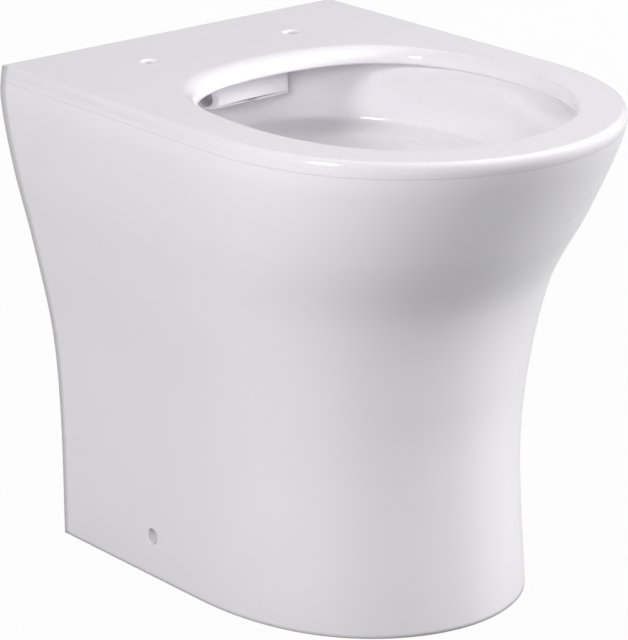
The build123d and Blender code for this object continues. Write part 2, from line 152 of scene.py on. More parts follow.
def glaze():
    """Clear gloss glaze over white china, with the faint waves a dipped glaze settles in."""
    material = bpy.data.materials.new("glazed_china")
    material.use_nodes = True
    tree = material.node_tree
    shader = tree.nodes["Principled BSDF"]
    place = tree.nodes.new("ShaderNodeTexCoord")
    cloud = tree.nodes.new("ShaderNodeTexNoise")
    cloud.inputs["Scale"].default_value = 6.0
    cloud.inputs["Detail"].default_value = 2.0
    tint = tree.nodes.new("ShaderNodeValToRGB")
    tint.color_ramp.elements[0].position = 0.35
    tint.color_ramp.elements[0].color = (0.778, 0.762, 0.792, 1)
    tint.color_ramp.elements[1].position = 0.65
    tint.color_ramp.elements[1].color = (0.793, 0.776, 0.806, 1)
    wave = tree.nodes.new("ShaderNodeTexNoise")
    wave.inputs["Scale"].default_value = 22.0
    wave.inputs["Detail"].default_value = 1.0
    bump = tree.nodes.new("ShaderNodeBump")
    bump.inputs["Strength"].default_value = 0.12
    bump.inputs["Distance"].default_value = 0.0006
    tree.links.new(place.outputs["Object"], cloud.inputs["Vector"])
    tree.links.new(place.outputs["Object"], wave.inputs["Vector"])
    tree.links.new(cloud.outputs["Fac"], tint.inputs["Fac"])
    tree.links.new(tint.outputs["Color"], shader.inputs["Base Color"])
    tree.links.new(wave.outputs["Fac"], bump.inputs["Height"])
    tree.links.new(bump.outputs["Normal"], shader.inputs["Normal"])
    shader.inputs["Roughness"].default_value = 0.12
    shader.inputs["IOR"].default_value = 1.5
    shader.inputs["Coat Weight"].default_value = 0.3
    shader.inputs["Coat Roughness"].default_value = 0.03
    return material


china = glaze()


def outer_shell():
    """Points and faces of the shell: outer face with its holes, inner face, foot and back ends."""
    window_low, window_high = fixing_hole_height - hole_window_up, fixing_hole_height + hole_window_up
    low = np.linspace(0, window_low, 5)
    window = np.linspace(window_low, window_high, window_rows + 1)
    high = np.linspace(window_high, deck_underside - 1, 96)[1:]
    heights = np.concatenate([low[:-1], window, high, [deck_underside]])
    rows = [plan_ring(h) for h in heights]
    count = len(rows[0])
    points = list(np.vstack(rows))
    faces = strip_faces(len(rows), count)
    # The squares round the two fixing holes give way to rings that close on the hole
    row_a, row_b = len(low) - 1, len(low) - 1 + window_rows
    xs, ys = rows[row_a][:, 0], rows[row_a][:, 1]
    beside = (np.abs(wall_y - ys - fixing_hole_from_wall) < hole_window_along) & (np.abs(xs) > 100)
    removed = set()
    extra_points, extra_faces = [], []
    for side in (-1, 1):
        columns = np.flatnonzero(beside & (np.sign(xs) == side)).tolist()
        j0, j1 = columns[0], columns[-1]
        for i in range(row_a, row_b):
            for j in range(j0, j1):
                removed.add((i, j))
        loop = [(row_a, j) for j in range(j0, j1)] + [(i, j1) for i in range(row_a, row_b)]
        loop += [(row_b, j) for j in range(j1, j0, -1)] + [(i, j0) for i in range(row_b, row_a, -1)]
        edge_points = np.array([rows[i][j] for i, j in loop])
        centre_y = wall_y - fixing_hole_from_wall
        angles = np.arctan2(edge_points[:, 2] - fixing_hole_height, edge_points[:, 1] - centre_y)
        base = len(points) + len(extra_points)
        outer_radius = fixing_hole_radius + fixing_hole_edge
        rings = []
        ring_round = np.column_stack([
            centre_y + outer_radius * np.cos(angles), fixing_hole_height + outer_radius * np.sin(angles)])
        for share in np.linspace(1, 0, 7):
            flat = ring_round + (edge_points[:, 1:] - ring_round) * share
            rings.append((flat, np.zeros(len(flat))))
        for a in np.radians(np.linspace(0, 90, 7))[1:]:
            r = fixing_hole_radius + fixing_hole_edge * (1 - math.sin(a))
            flat = np.column_stack([centre_y + r * np.cos(angles), fixing_hole_height + r * np.sin(angles)])
            rings.append((flat, np.full(len(flat), fixing_hole_edge * (1 - math.cos(a)))))
        rings.append((rings[-1][0], np.full(len(flat), shell_wall)))
        for flat, depth_in in rings:
            for (y, z), inwards in zip(flat, depth_in):
                extra_points.append((side * (level_values(z)[0] - inwards), y, z))
        extra_faces += strip_faces(len(rings), len(loop), start=base, closed=True)
    keep = [f for k, f in enumerate(faces) if (k // (count - 1), k % (count - 1)) not in removed]
    points += extra_points
    faces = keep + extra_faces
    # Inner face, foot ring and the two cut ends at the wall
    base = len(points)
    inner_heights = np.linspace(0, deck_underside, 48)
    inner = [plan_ring(h, shell_wall) for h in inner_heights]
    points += list(np.vstack(inner))
    faces += strip_faces(len(inner), count, start=base, flip=True)
    outer_foot = [(j, base + j) for j in range(count)]
    for (a, b), (c, d) in zip(outer_foot[:-1], outer_foot[1:]):
        faces.append((a, b, d, c))
    for j, turn in ((0, 1), (count - 1, -1)):
        outer_column = [i * count + j for i in range(len(rows))]
        inner_column = [base + i * count + j for i in range(len(inner))]
        polygon = outer_column + inner_column[::-1]
        faces.append(polygon if turn > 0 else polygon[::-1])
    return np.array(points), faces


shell = new_piece("outer_shell", *outer_shell(), china)
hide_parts("skirt_front", "skirt_side_left", "skirt_side_right")
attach(shell, "root")


# The rim deck: the flat top of the same casting, with a soft outer edge, a lip that rolls down
# into the bowl, widest at the back, and two holes for the seat's hinge posts. It is stuck on as
# clay, trimmed and sponged, then glazed with the rest.
lip_half, lip_back, lip_front = 139.0, 157.0, 510.0
lip_pull, lip_back_pull = 0.62, 0.70
lip_drop = 9.0
roll_side, roll_front, roll_back = 3.5, 4.0, 24.0
under_roll, under_roll_height = 2.0, 2.2
bowl_top_half, bowl_top_back, bowl_top_front = 142.0, 100.0, 513.0
bowl_top_pull, bowl_top_back_pull = 0.71, 0.62
middle_share = 0.49
seat_hole_spacing, seat_hole_from_wall = 155.0, 81.0
seat_hole_radius, seat_hole_edge = 7.0, 2.0
quarter_count = 60


def oval_ring(half, back, front, height, pull, back_pull=None):
    """Plan oval of four quarter curves between two distances from the wall, from +X to the back."""
    back_pull = back_pull or pull
    middle = back + (front - back) * middle_share
    t = np.linspace(0, 1, quarter_count, endpoint=False)[:, None]

    def quarter(corners):
        a, b, c, d = (np.array(corner) for corner in corners)
        return (1 - t) ** 3 * a + 3 * (1 - t) ** 2 * t * b + 3 * (1 - t) * t * t * c + t ** 3 * d

    back_bend = middle + (back - middle) * back_pull
    front_bend = middle + (front - middle) * pull
    back_side, side = back_pull * half, pull * half
    plan = np.vstack([
        quarter([(half, middle), (half, back_bend), (back_side, back), (0.0, back)]),
        quarter([(0.0, back), (-back_side, back), (-half, back_bend), (-half, middle)]),
        quarter([(-half, middle), (-half, front_bend), (-side, front), (0.0, front)]),
        quarter([(0.0, front), (side, front), (half, front_bend), (half, middle)]),
    ])
    return np.column_stack([plan[:, 0], wall_y - plan[:, 1], np.full(len(plan), height)])


def inside(loop, point):
    """Whether a plan point lies inside a closed loop."""
    a, b = loop, np.roll(loop, -1, axis=0)
    crosses = (a[:, 1] > point.y) != (b[:, 1] > point.y)
    a, b = a[crosses], b[crosses]
    at_x = (b[:, 0] - a[:, 0]) * (point.y - a[:, 1]) / (b[:, 1] - a[:, 1]) + a[:, 0]
    return bool(np.sum(point.x < at_x) % 2)


def rim_deck():
    """Points and faces of the deck, closed at the wall and underneath."""
    points, faces = [], []

    def add(rows, closed):
        base = sum(len(p) for p in points)
        points.extend(rows)
        faces.extend(strip_faces(len(rows), len(rows[0]), start=base, closed=closed))

    side_rows = [plan_ring(h) for h in np.linspace(deck_underside, rim_height - edge_drop, 5)[:-1]]
    for a in edge_turns:
        height = rim_height - edge_drop + edge_drop * math.sin(a)
        side_rows.append(plan_ring(height, edge=1 - math.cos(a)))
    add(side_rows, closed=False)
    # Lip: quarter roll down to the edge, a small return under it, then the flat underside
    lip_rows = []
    for a in np.radians(np.linspace(0, 90, 15)):
        out = 1 - math.sin(a)
        lip_rows.append(oval_ring(
            lip_half + roll_side * out, lip_back - roll_back * out, lip_front + roll_front * out,
            rim_height - lip_drop * (1 - math.cos(a)), lip_pull, lip_back_pull))
    under_start = deck_underside + under_roll_height
    lip_rows.append(oval_ring(lip_half, lip_back, lip_front, under_start + 1, lip_pull, lip_back_pull))
    for a in np.radians(np.linspace(0, 90, 6)):
        out = under_roll * (1 - math.cos(a))
        lip_rows.append(oval_ring(
            lip_half + out, lip_back - out, lip_front + out, under_start - under_roll_height * math.sin(a),
            lip_pull, lip_back_pull))
    lip_rows.append(oval_ring(
        bowl_top_half, bowl_top_back, bowl_top_front, deck_underside, bowl_top_pull, bowl_top_back_pull))
    add(lip_rows, closed=True)
    # Seat holes: a sponged round edge and a straight bore
    hole_rows = []
    for side in (-1, 1):
        rows = []
        turn = np.linspace(0, 2 * math.pi, 48, endpoint=False)
        centre_x, centre_y = side * seat_hole_spacing / 2, wall_y - seat_hole_from_wall
        for a in np.radians(np.linspace(0, 90, 7)):
            r = seat_hole_radius + seat_hole_edge * (1 - math.sin(a))
            height = rim_height - seat_hole_edge * (1 - math.cos(a))
            rows.append(np.column_stack([
                centre_x + r * np.cos(turn), centre_y + r * np.sin(turn), np.full(len(turn), height)]))
        bore = rows[-1].copy()
        bore[:, 2] = deck_underside
        rows.append(bore)
        add(rows, closed=True)
        hole_rows.append(rows)
    # Cut end at the wall
    base = sum(len(p) for p in points)
    end = np.array([row[0] for row in side_rows] + [row[-1] for row in side_rows[::-1]])
    points.append(end)
    faces.append([base + k for k in range(len(end))])

    def flat(loops, height, up):
        """Level face inside the first loop and outside the others."""
        flat_points, edges = [], []
        for loop in loops:
            start = len(flat_points)
            flat_points += [Vector((float(p[0]), float(p[1]))) for p in loop]
            edges += [(start + k, start + (k + 1) % len(loop)) for k in range(len(loop))]
        out_points, _, out_faces, _, _, _ = delaunay_2d_cdt(flat_points, edges, [], 0, 1e-4)
        base = sum(len(p) for p in points)
        points.append(np.array([(p[0], p[1], height) for p in out_points]))
        rings = [np.array([p[:2] for p in loop]) for loop in loops]
        for face in out_faces:
            middle = sum((out_points[k] for k in face), Vector((0, 0))) / len(face)
            if inside(rings[0], middle) and not any(inside(ring, middle) for ring in rings[1:]):
                a, b, c = (out_points[k] for k in face[:3])
                turned = ((b - a).cross(c - a) > 0) == up
                faces.append([base + k for k in (face if turned else face[::-1])])

    flat([side_rows[-1], lip_rows[0]] + [rows[0] for rows in hole_rows], rim_height, True)
    flat([side_rows[0], lip_rows[-1]] + [rows[-1] for rows in hole_rows], deck_underside, False)
    return np.vstack(points), faces


deck = new_piece("rim_deck_glazed", *rim_deck(), china)
# The flat is ground level before glazing, so everything at its height faces straight up
level = rim_height * MM - 1e-6
deck.data.normals_split_custom_set_from_vertices([
    Vector((0, 0, 1)) if v.co.z > level else v.normal.copy() for v in deck.data.vertices
])
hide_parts("rim_deck")
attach(deck, "root")


# The bowl: a rimless upper wall, a shallow ledge that carries the flush water round, and a
# funnel down to the sump where the water stands. One cast wall, glazed inside.
round_pull = 0.5523
bowl_levels = [
    # half width, back and front from the wall, height, pull of the front and back curves, corner radius
    (bowl_top_half, bowl_top_back, bowl_top_front, deck_underside, bowl_top_pull, bowl_top_back_pull, 0.0),
    (127.0, 101.0, 488.0, 384.0, round_pull, round_pull, 4.0),
    (109.0, 123.0, 466.0, 376.0, round_pull, round_pull, 6.0),
    (98.5, 169.5, 445.0, 333.0, round_pull, round_pull, 30.0),
    (88.0, 216.0, 424.0, 290.0, round_pull, round_pull, 30.0),
    (73.0, 240.0, 400.0, 238.0, round_pull, round_pull, 30.0),
    (60.0, 260.0, 378.0, 190.0, round_pull, round_pull, 30.0),
    (49.0, 265.0, 362.0, 135.0, round_pull, round_pull, 25.0),
    (42.0, 268.0, 352.0, 92.0, round_pull, round_pull, 22.0),
    (2.0, 308.0, 312.0, 92.0, round_pull, round_pull, 0.0),
]
trap_entry_height, trap_entry_radius = 128.0, 36.0
trap_entry_front, trap_entry_snap = 296.0, 1.6


def rounded_profile(levels, corner_steps=8):
    """Chain of levels with each inner corner turned on a curve, without the corner radii."""
    levels = np.array(levels)
    chain = [levels[0, :6]]
    for before, here, after in zip(levels[:-2], levels[1:-1], levels[2:]):
        to_before, to_after = before[:6] - here[:6], after[:6] - here[:6]
        size_before = math.hypot(to_before[0], to_before[3])
        size_after = math.hypot(to_after[0], to_after[3])
        reach = min(here[6], 0.48 * size_before, 0.48 * size_after)
        start = here[:6] + to_before * reach / size_before
        end = here[:6] + to_after * reach / size_after
        for t in np.linspace(0, 1, corner_steps):
            chain.append((1 - t) ** 2 * start + 2 * (1 - t) * t * here[:6] + t * t * end)
    chain.append(levels[-1, :6])
    return np.array(chain)


def bowl_inside():
    """Points and faces of the bowl and the sump's floor, with the way into the trap left open."""
    chain = rounded_profile(bowl_levels)
    rows = [oval_ring(*level) for level in chain]
    count = len(rows[0])
    points = np.vstack(rows)
    faces = strip_faces(len(rows), count, closed=True)
    last = (len(rows) - 1) * count
    faces.append([last + k for k in range(count)])
    # Round way into the trap: points near its rim move onto it, and the faces within go
    across, up = points[:, 0], points[:, 2] - trap_entry_height
    reach = np.hypot(across, up)
    behind = (wall_y - points[:, 1] < trap_entry_front) & (reach > 1)
    near = behind & (np.abs(reach - trap_entry_radius) < trap_entry_snap)
    points[near, 0] = across[near] * trap_entry_radius / reach[near]
    points[near, 2] = trap_entry_height + up[near] * trap_entry_radius / reach[near]
    within = (reach < trap_entry_radius + trap_entry_snap) & (wall_y - points[:, 1] < trap_entry_front)
    faces = [f for f in faces if not all(within[k] for k in f)]
    return points, faces


basin = new_piece("bowl_glazed", *bowl_inside(), china)
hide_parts("bowl", "sump")
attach(basin, "root")


# The flush distributor: a cast block stuck under the back lip, with its ends cut off at a slant,
# a round outlet in each end and a notch in its lower front edge. The clay edges are sponged round.
head_half, head_face, head_back = 38.0, 130.0, 103.0
head_end_turn = math.radians(60.0)
head_end_length = 21.0
head_low, head_high = 412.0, 441.0
head_front_round, head_edge_round = 6.0, 1.2
head_edge_turn = math.radians(35)
cutter_margin = 5.0
outlet_radius, outlet_along, outlet_above, outlet_deep = 6.5, 12.6, 9.0, 14.0
notch_half, notch_high, notch_deep = 6.0, 4.0, 9.0


def solid_object(name, bm):
    """Loose object from an edit mesh in millimetres."""
    bmesh.ops.recalc_face_normals(bm, faces=bm.faces)
    bmesh.ops.scale(bm, vec=(MM, MM, MM), verts=bm.verts)
    mesh = bpy.data.meshes.new(name)
    bm.to_mesh(mesh)
    bm.free()
    solid = bpy.data.objects.new(name, mesh)
    bpy.context.scene.collection.objects.link(solid)
    return solid


def prism(plan, low, high):
    """Upright block over a plan polygon, as an edit mesh."""
    bm = bmesh.new()
    base = bm.faces.new([bm.verts.new((x, wall_y - d, low)) for x, d in plan])
    raised = bmesh.ops.extrude_face_region(bm, geom=[base])
    moved = [v for v in raised["geom"] if isinstance(v, bmesh.types.BMVert)]
    bmesh.ops.translate(bm, vec=(0, 0, high - low), verts=moved)
    return bm


def settled(solid):
    """Plain mesh of an object with its modifiers worked in, the object then clear of them."""
    bpy.context.view_layer.update()
    seen = solid.evaluated_get(bpy.context.evaluated_depsgraph_get())
    solid.data = bpy.data.meshes.new_from_object(seen)
    solid.modifiers.clear()
    return solid


def distributor():
    """The block with its outlets and notch cut and all its edges sponged round."""
    end_x = head_half + head_end_length * math.cos(head_end_turn)
    end_d = head_face - head_end_length * math.sin(head_end_turn)
    bm = prism([
        (head_half, head_face), (end_x, end_d), (end_x, head_back), (-end_x, head_back), (-end_x, end_d),
        (-head_half, head_face),
    ], head_low, head_high)
    front_y = wall_y - head_face
    lower = [
        e for e in bm.edges
        if all(abs(v.co.y - front_y) < 0.1 and abs(v.co.z - head_low) < 0.1 for v in e.verts)
    ]
    bmesh.ops.bevel(bm, geom=lower, offset=head_front_round, segments=6, profile=0.5, affect="EDGES")
    solid = solid_object("flush_distributor_glazed", bm)
    cutters = []
    for side in (-1, 1):
        bm = bmesh.new()
        bmesh.ops.create_cone(
            bm, segments=40, cap_ends=True, radius1=outlet_radius, radius2=outlet_radius,
            depth=2 * outlet_deep)
        normal = Vector((side * math.sin(head_end_turn), -math.cos(head_end_turn), 0))
        place = Vector((
            side * (head_half + outlet_along * math.cos(head_end_turn)),
            wall_y - head_face + outlet_along * math.sin(head_end_turn), head_low + outlet_above))
        aim = normal.to_track_quat("Z", "Y").to_matrix().to_4x4()
        bmesh.ops.transform(bm, matrix=Matrix.Translation(place) @ aim, verts=bm.verts)
        cutters.append(solid_object("outlet_cutter", bm))
    cutters.append(solid_object("notch_cutter", prism([
        (-notch_half, head_face + cutter_margin), (notch_half, head_face + cutter_margin),
        (notch_half, head_face - notch_deep), (-notch_half, head_face - notch_deep),
    ], head_low - cutter_margin, head_low + notch_high)))
    for cutter in cutters:
        cut = solid.modifiers.new("cut", "BOOLEAN")
        cut.operation = "DIFFERENCE"
        cut.solver = "EXACT"
        cut.object = cutter
    soften = solid.modifiers.new("soften", "BEVEL")
    soften.width = head_edge_round * MM
    soften.segments = 3
    soften.limit_method = "ANGLE"
    soften.angle_limit = head_edge_turn
    settled(solid)
    for cutter in cutters:
        bpy.data.objects.remove(cutter)
    solid.data.shade_smooth()
    solid.data.set_sharp_from_angle(angle=head_edge_turn)
    solid.data.materials.clear()
    solid.data.materials.append(china)
    return solid


head = distributor()
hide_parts("flush_distributor")
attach(head, "root")


# Flush way behind the bowl: the socket that takes the flush pipe, the duct that carries the water
# up to the distributor, and the panel that closes the back under the deck. All are cast sections
# stuck together as clay, so their edges are soft and the glaze runs over the joints.
crease_turn = math.radians(32)
weld_distance = 2e-6


def softened(name, node_names, edge, material):
    """Welded, rounded and smoothed copy of CAD pieces, in their place."""
    bm = bmesh.new()
    for node_name in node_names:
        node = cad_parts[node_name]
        part = node.data.copy()
        part.transform(node.matrix_world)
        bm.from_mesh(part)
        bpy.data.meshes.remove(part)
    bmesh.ops.remove_doubles(bm, verts=bm.verts, dist=weld_distance)
    bmesh.ops.dissolve_limit(
        bm, angle_limit=math.radians(0.5), use_dissolve_boundaries=False, verts=bm.verts, edges=bm.edges)
    mesh = bpy.data.meshes.new(name)
    bm.to_mesh(mesh)
    bm.free()
    piece = bpy.data.objects.new(name, mesh)
    bpy.context.scene.collection.objects.link(piece)
    soften = piece.modifiers.new("soften", "BEVEL")
    soften.width = edge * MM
    soften.segments = 2
    soften.limit_method = "ANGLE"
    soften.angle_limit = crease_turn
    settled(piece)
    piece.data.shade_smooth()
    piece.data.set_sharp_from_angle(angle=crease_turn)
    piece.data.materials.clear()
    piece.data.materials.append(material)
    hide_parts(*node_names)
    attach(piece, "root")
    return piece


softened("flush_socket_glazed", ["inlet_socket"], 0.8, china)
softened("flush_duct_glazed", ["flush_duct"], 0.8, china)
softened("rear_panel_glazed", ["rear_panel"], 0.8, china)


# The seal pushed into the flush socket: moulded black rubber with a flange outside and a stop
# ring inside, slightly dusty from the mould.
def rubber():
    """Matt black rubber with a little grey dust."""
    material = bpy.data.materials.new("seal_rubber")
    material.use_nodes = True
    tree = material.node_tree
    shader = tree.nodes["Principled BSDF"]
    place = tree.nodes.new("ShaderNodeTexCoord")
    dust = tree.nodes.new("ShaderNodeTexNoise")
    dust.inputs["Scale"].default_value = 90.0
    dust.inputs["Detail"].default_value = 4.0
    tint = tree.nodes.new("ShaderNodeValToRGB")
    tint.color_ramp.elements[0].position = 0.4
    tint.color_ramp.elements[0].color = (0.028, 0.028, 0.030, 1)
    tint.color_ramp.elements[1].position = 0.75
    tint.color_ramp.elements[1].color = (0.05, 0.05, 0.052, 1)
    tree.links.new(place.outputs["Object"], dust.inputs["Vector"])
    tree.links.new(dust.outputs["Fac"], tint.inputs["Fac"])
    tree.links.new(tint.outputs["Color"], shader.inputs["Base Color"])
    shader.inputs["Roughness"].default_value = 0.62
    return material


softened("flush_seal", ["inlet_seal"], 0.5, rubber())


# The trapway: a round tube cast in one sweep from the foot of the sump, up over the weir that
# holds the water seal, and down to the outlet at the back.
trap_outer, trap_bore = 45.0, 36.0
trap_points = [
    # distance from the wall, height, bend radius
    (268.0, 128.0, 0.0),
    (238.0, 128.0, 46.0),
    (150.0, 318.0, 50.0),
    (66.0, 180.0, 49.0),
    (38.0, 180.0, 0.0),
]


def path_curve():
    """Middle line of the tube with its corners turned on arcs, as a curve object."""
    corners = [np.array(p[:2]) for p in trap_points]
    bends = [p[2] for p in trap_points[1:-1]]
    line = [corners[0]]
    for before, here, after, bend in zip(corners[:-2], corners[1:-1], corners[2:], bends):
        to_before = (before - here) / np.linalg.norm(before - here)
        to_after = (after - here) / np.linalg.norm(after - here)
        half_turn = math.acos(float(np.dot(to_before, to_after))) / 2
        reach = bend / math.tan(half_turn)
        middle = (to_before + to_after) / np.linalg.norm(to_before + to_after)
        centre = here + middle * bend / math.sin(half_turn)
        start, end = here + to_before * reach - centre, here + to_after * reach - centre
        sweep = math.atan2(start[0] * end[1] - start[1] * end[0], float(np.dot(start, end)))
        for turn in np.linspace(0, sweep, 25):
            c, s = math.cos(turn), math.sin(turn)
            line.append(centre + (start[0] * c - start[1] * s, start[0] * s + start[1] * c))
    line.append(corners[-1])
    data = bpy.data.curves.new("trapway_path", "CURVE")
    data.dimensions = "3D"
    spline = data.splines.new("POLY")
    spline.points.add(len(line) - 1)
    for point, (d, z) in zip(spline.points, line):
        point.co = (0, (wall_y - d) * MM, z * MM, 1)
    path = bpy.data.objects.new("trapway_path", data)
    bpy.context.scene.collection.objects.link(path)
    return path


def tube_tree():
    """Node tree that sweeps an outer wall and a bore along its curve."""
    tree = bpy.data.node_groups.new("swept_tube", "GeometryNodeTree")
    face = tree.interface
    face.new_socket("Geometry", in_out="INPUT", socket_type="NodeSocketGeometry")
    face.new_socket("Outer Radius", in_out="INPUT", socket_type="NodeSocketFloat")
    face.new_socket("Bore Radius", in_out="INPUT", socket_type="NodeSocketFloat")
    face.new_socket("Material", in_out="INPUT", socket_type="NodeSocketMaterial")
    face.new_socket("Geometry", in_out="OUTPUT", socket_type="NodeSocketGeometry")
    source = tree.nodes.new("NodeGroupInput")
    sink = tree.nodes.new("NodeGroupOutput")
    join = tree.nodes.new("GeometryNodeJoinGeometry")
    for radius_name, inward in (("Outer Radius", False), ("Bore Radius", True)):
        ring = tree.nodes.new("GeometryNodeCurvePrimitiveCircle")
        ring.inputs["Resolution"].default_value = 72
        sweep = tree.nodes.new("GeometryNodeCurveToMesh")
        tree.links.new(source.outputs[radius_name], ring.inputs["Radius"])
        tree.links.new(source.outputs["Geometry"], sweep.inputs["Curve"])
        tree.links.new(ring.outputs["Curve"], sweep.inputs["Profile Curve"])
        wall = sweep.outputs["Mesh"]
        if inward:
            flip = tree.nodes.new("GeometryNodeFlipFaces")
            tree.links.new(wall, flip.inputs["Mesh"])
            wall = flip.outputs["Mesh"]
        tree.links.new(wall, join.inputs["Geometry"])
    solid = tree.nodes.new("GeometryNodeRealizeInstances")
    paint = tree.nodes.new("GeometryNodeSetMaterial")
    tree.links.new(join.outputs["Geometry"], solid.inputs["Geometry"])
    tree.links.new(solid.outputs["Geometry"], paint.inputs["Geometry"])
    tree.links.new(source.outputs["Material"], paint.inputs["Material"])
    tree.links.new(paint.outputs["Geometry"], sink.inputs["Geometry"])
    return tree


def grown(name, source, tree, values):
    """Plain mesh that a node tree makes from an object, with its named inputs set."""
    grow = source.modifiers.new("grow", "NODES")
    grow.node_group = tree
    for item in tree.interface.items_tree:
        if item.in_out == "INPUT" and item.name in values:
            grow[item.identifier] = values[item.name]
    bpy.context.view_layer.update()
    seen = source.evaluated_get(bpy.context.evaluated_depsgraph_get())
    mesh = bpy.data.meshes.new_from_object(seen)
    mesh.name = name
    bpy.data.objects.remove(source)
    piece = bpy.data.objects.new(name, mesh)
    bpy.context.scene.collection.objects.link(piece)
    return piece


trap_tube = grown("trapway_glazed", path_curve(), tube_tree(), {
    "Outer Radius": trap_outer * MM, "Bore Radius": trap_bore * MM, "Material": china,
})
trap_tube.data.shade_smooth()
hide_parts("trap_rise", "trap_crown", "trap_fall")
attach(trap_tube, "root")

softened("outlet_spigot_glazed", ["outlet_spigot"], 1.2, china)


# Supports inside the skirt: two webs that hold the bowl off the side walls, one at the nose and
# a hollow foot under the sump. They are plain cast slabs with softened edges.
softened("side_webs_glazed", ["side_web_left", "side_web_right"], 0.8, china)
softened("front_web_glazed", ["front_web"], 0.8, china)
softened("trap_foot_glazed", ["trap_foot"], 0.8, china)


# Side fixings: a clay boss behind each side hole, a pressed steel angle that is screwed to the
# floor beside it, and a nylon bush in the angle for the fixing screw. Both sides are alike.
def steel():
    """Bare pressed steel, duller and brighter along the way it was rolled."""
    material = bpy.data.materials.new("bracket_steel")
    material.use_nodes = True
    tree = material.node_tree
    shader = tree.nodes["Principled BSDF"]
    place = tree.nodes.new("ShaderNodeTexCoord")
    stretch = tree.nodes.new("ShaderNodeMapping")
    stretch.inputs["Scale"].default_value = (40.0, 900.0, 60.0)
    grain = tree.nodes.new("ShaderNodeTexNoise")
    grain.inputs["Scale"].default_value = 1.0
    grain.inputs["Detail"].default_value = 3.0
    rough = tree.nodes.new("ShaderNodeMapRange")
    rough.inputs["To Min"].default_value = 0.28
    rough.inputs["To Max"].default_value = 0.46
    tree.links.new(place.outputs["Object"], stretch.inputs["Vector"])
    tree.links.new(stretch.outputs["Vector"], grain.inputs["Vector"])
    tree.links.new(grain.outputs["Fac"], rough.inputs["Value"])
    tree.links.new(rough.outputs["Result"], shader.inputs["Roughness"])
    shader.inputs["Base Color"].default_value = (0.62, 0.63, 0.64, 1)
    shader.inputs["Metallic"].default_value = 1.0
    return material


def nylon():
    """Moulded nylon, coloured near black as painted shade so the side holes show dark; nearly even in
    colour.
    """
    material = bpy.data.materials.new("bush_nylon")
    material.use_nodes = True
    tree = material.node_tree
    shader = tree.nodes["Principled BSDF"]
    place = tree.nodes.new("ShaderNodeTexCoord")
    cloud = tree.nodes.new("ShaderNodeTexNoise")
    cloud.inputs["Scale"].default_value = 60.0
    tint = tree.nodes.new("ShaderNodeValToRGB")
    # Near black: painted shade for the hollow behind each side hole, carried by the bush seen through it
    tint.color_ramp.elements[0].color = (0.040, 0.040, 0.043, 1)
    tint.color_ramp.elements[1].color = (0.055, 0.055, 0.058, 1)
    tree.links.new(place.outputs["Object"], cloud.inputs["Vector"])
    tree.links.new(cloud.outputs["Fac"], tint.inputs["Fac"])
    tree.links.new(tint.outputs["Color"], shader.inputs["Base Color"])
    shader.inputs["Roughness"].default_value = 0.42
    shader.inputs["Subsurface Weight"].default_value = 0.08
    shader.inputs["Subsurface Scale"].default_value = 0.004
    return material


def pair_tree():
    """Node tree that sets a fixing at each side hole, the second turned to face the first."""
    tree = bpy.data.node_groups.new("fixing_pair", "GeometryNodeTree")
    face = tree.interface
    face.new_socket("Geometry", in_out="INPUT", socket_type="NodeSocketGeometry")
    face.new_socket("Count", in_out="INPUT", socket_type="NodeSocketInt")
    face.new_socket("Turn Between", in_out="INPUT", socket_type="NodeSocketFloat")
    face.new_socket("Centre", in_out="INPUT", socket_type="NodeSocketVector")
    face.new_socket("Material", in_out="INPUT", socket_type="NodeSocketMaterial")
    face.new_socket("Geometry", in_out="OUTPUT", socket_type="NodeSocketGeometry")
    source = tree.nodes.new("NodeGroupInput")
    sink = tree.nodes.new("NodeGroupOutput")
    spots = tree.nodes.new("GeometryNodeMeshLine")
    spots.inputs["Offset"].default_value = (0, 0, 0)
    index = tree.nodes.new("GeometryNodeInputIndex")
    angle = tree.nodes.new("ShaderNodeMath")
    angle.operation = "MULTIPLY"
    turn = tree.nodes.new("ShaderNodeCombineXYZ")
    place = tree.nodes.new("GeometryNodeInstanceOnPoints")
    solid = tree.nodes.new("GeometryNodeRealizeInstances")
    paint = tree.nodes.new("GeometryNodeSetMaterial")
    tree.links.new(source.outputs["Count"], spots.inputs["Count"])
    tree.links.new(source.outputs["Centre"], spots.inputs["Start Location"])
    tree.links.new(index.outputs["Index"], angle.inputs[0])
    tree.links.new(source.outputs["Turn Between"], angle.inputs[1])
    tree.links.new(angle.outputs["Value"], turn.inputs["Z"])
    tree.links.new(spots.outputs["Mesh"], place.inputs["Points"])
    tree.links.new(source.outputs["Geometry"], place.inputs["Instance"])
    tree.links.new(turn.outputs["Vector"], place.inputs["Rotation"])
    tree.links.new(place.outputs["Instances"], solid.inputs["Geometry"])
    tree.links.new(solid.outputs["Geometry"], paint.inputs["Geometry"])
    tree.links.new(source.outputs["Material"], paint.inputs["Material"])
    tree.links.new(paint.outputs["Geometry"], sink.inputs["Geometry"])
    return tree


